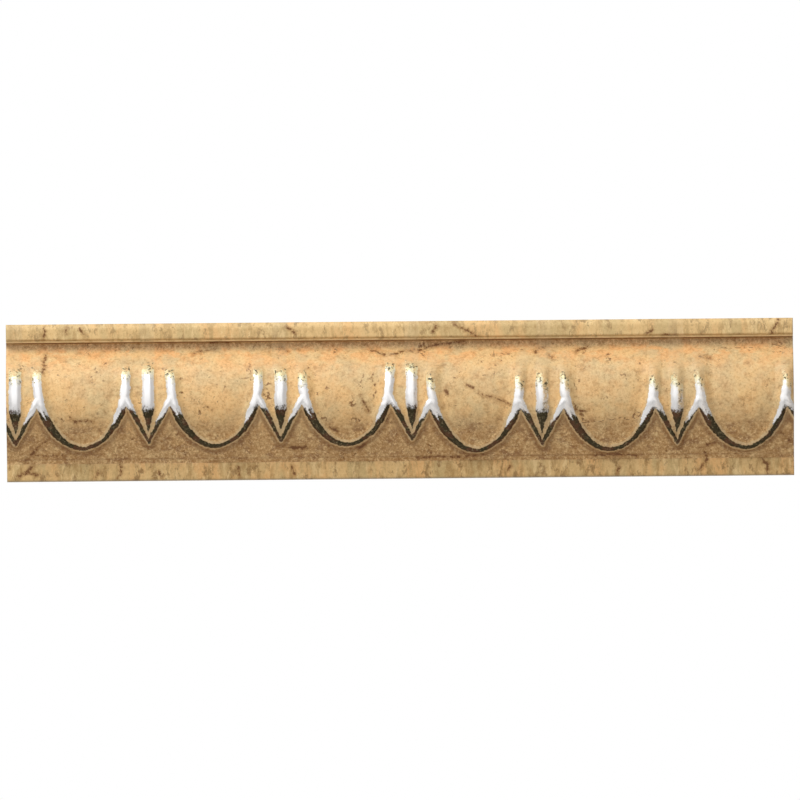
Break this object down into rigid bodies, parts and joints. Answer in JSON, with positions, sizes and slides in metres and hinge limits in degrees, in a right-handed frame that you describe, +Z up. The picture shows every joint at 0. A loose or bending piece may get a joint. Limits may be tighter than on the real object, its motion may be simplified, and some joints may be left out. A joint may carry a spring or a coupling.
{
  "type": "egg-and-dart border moulding",
  "caption": "Straight glazed ceramic border moulding with framed eggs and darts on a fat round between two flat fillets, beige marble effect with pale lustre.",
  "frame": {"origin": "centre of the flat back, on the land between the keying recesses", "axes": "+X along the length to the right, +Z up the face, +Y out of the back into the wall; the ornamented face looks along -Y"},
  "size_m": [0.25, 0.0178, 0.05],
  "materials": {
    "glazed_ceramic": "satin glaze printed as beige marble, with pale gold lustre on the frames and darts"
  },
  "bodies": {
    "root": {"moulding": "glazed_ceramic"}
  },
  "joints": []
}
